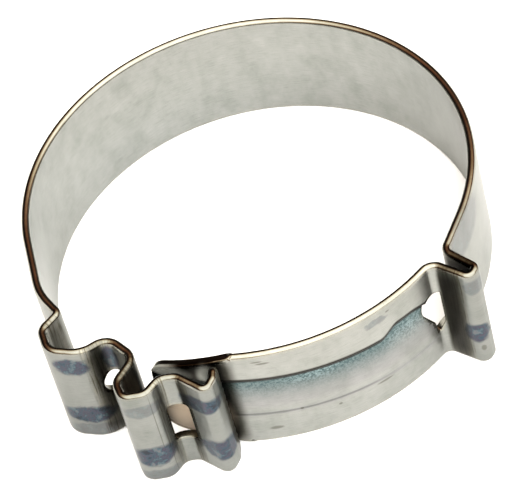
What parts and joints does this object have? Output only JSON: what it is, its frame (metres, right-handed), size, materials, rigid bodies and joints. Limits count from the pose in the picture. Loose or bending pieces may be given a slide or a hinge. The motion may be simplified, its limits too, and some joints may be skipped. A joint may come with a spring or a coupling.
{
  "type": "snap-lock band clamp",
  "caption": "Screwless snap-lock band clamp for a hose or pipe, lying open: one spring steel strip with a folded catch, a bridging tongue and a latch hook.",
  "frame": {"origin": "on the axis of the band's bore, at the middle of the strip's width", "axes": "+Z along the bore axis; +Y to the middle of the band's back; the open mouth is at -Y, the catch at +X and the latch hook at -X"},
  "size_m": [0.043, 0.0445, 0.012],
  "materials": {
    "spring_steel": "satin, with rolled edges",
    "tinted_steel": "satin with blue and violet heat tint at the bends"
  },
  "bodies": {
    "band_back": {"back_band": "spring_steel"},
    "right_shoulder": {"right_shoulder_band": "spring_steel"},
    "right_side": {"right_side_band": "spring_steel"},
    "catch_end": {"right_end_band": "spring_steel", "catch_notch": "spring_steel", "catch_hook": "tinted_steel", "catch_foot": "spring_steel"},
    "tongue_root": {"tongue_base": "spring_steel"},
    "tongue_end": {"tongue_blade": "spring_steel", "tongue_tip": "spring_steel"},
    "left_shoulder": {"left_shoulder_band": "spring_steel"},
    "left_side": {"left_side_band": "spring_steel"},
    "left_end": {"left_end_band": "spring_steel", "bow_notch": "spring_steel"},
    "spring_bow": {"bow_hump": "tinted_steel", "bow_bridge": "tinted_steel", "bow_wall": "tinted_steel"},
    "latch_hook": {"hook_hump": "tinted_steel", "hook_saddle": "tinted_steel", "latch_hump": "tinted_steel", "latch_lip": "tinted_steel"}
  },
  "joints": [
    {"name": "right_shoulder_flex", "type": "hinge", "parent": "band_back", "child": "right_shoulder", "pos_m": [0.00883, 0.01894, 0], "axis": [0, 0, -1], "range_deg": [0, 9.6], "stiffness_Nm_per_rad": 0.02},
    {"name": "left_shoulder_flex", "type": "hinge", "parent": "band_back", "child": "left_shoulder", "pos_m": [-0.00883, 0.01894, 0], "axis": [0, 0, 1], "range_deg": [0, 9.6], "stiffness_Nm_per_rad": 0.02},
    {"name": "right_side_flex", "type": "hinge", "parent": "right_shoulder", "child": "right_side", "pos_m": [0.01964, 0.00715, 0], "axis": [0, 0, -1], "range_deg": [0, 7.7], "stiffness_Nm_per_rad": 0.02},
    {"name": "left_side_flex", "type": "hinge", "parent": "left_shoulder", "child": "left_side", "pos_m": [-0.01964, 0.00715, 0], "axis": [0, 0, 1], "range_deg": [0, 7.7], "stiffness_Nm_per_rad": 0.02},
    {"name": "right_end_flex", "type": "hinge", "parent": "right_side", "child": "catch_end", "pos_m": [0.01964, -0.00715, 0], "axis": [0, 0, -1], "range_deg": [0, 4.8], "stiffness_Nm_per_rad": 0.02},
    {"name": "left_end_flex", "type": "hinge", "parent": "left_side", "child": "left_end", "pos_m": [-0.0209, 0, 0], "axis": [0, 0, 1], "range_deg": [0, 4.8], "stiffness_Nm_per_rad": 0.02},
    {"name": "tongue_root_flex", "type": "hinge", "parent": "catch_end", "child": "tongue_root", "pos_m": [0.01108, -0.01772, 0], "axis": [0, 0, -1], "range_deg": [0, 23.1], "stiffness_Nm_per_rad": 0.02},
    {"name": "tongue_mid_flex", "type": "hinge", "parent": "tongue_root", "child": "tongue_end", "pos_m": [0.00218, -0.02079, 0], "axis": [0, 0, -1], "range_deg": [0, 11.6], "stiffness_Nm_per_rad": 0.02},
    {"name": "bow_lift", "type": "hinge", "parent": "left_end", "child": "spring_bow", "pos_m": [-0.02047, -0.01015, 0], "axis": [0, 0, -1], "range_deg": [0, 10], "stiffness_Nm_per_rad": 0.02},
    {"name": "hook_lift", "type": "hinge", "parent": "spring_bow", "child": "latch_hook", "pos_m": [-0.01486, -0.01821, 0], "axis": [0, 0, -1], "range_deg": [0, 10], "stiffness_Nm_per_rad": 0.02}
  ],
  "couplings": [
    {"joint": "left_shoulder_flex", "follows": "right_shoulder_flex", "ratio": 1},
    {"joint": "right_side_flex", "follows": "right_shoulder_flex", "ratio": 0.8},
    {"joint": "left_side_flex", "follows": "right_shoulder_flex", "ratio": 0.8},
    {"joint": "right_end_flex", "follows": "right_shoulder_flex", "ratio": 0.5},
    {"joint": "left_end_flex", "follows": "right_shoulder_flex", "ratio": 0.5},
    {"joint": "tongue_root_flex", "follows": "right_shoulder_flex", "ratio": 2.4},
    {"joint": "tongue_mid_flex", "follows": "right_shoulder_flex", "ratio": 1.2},
    {"joint": "hook_lift", "follows": "bow_lift", "ratio": 1}
  ]
}
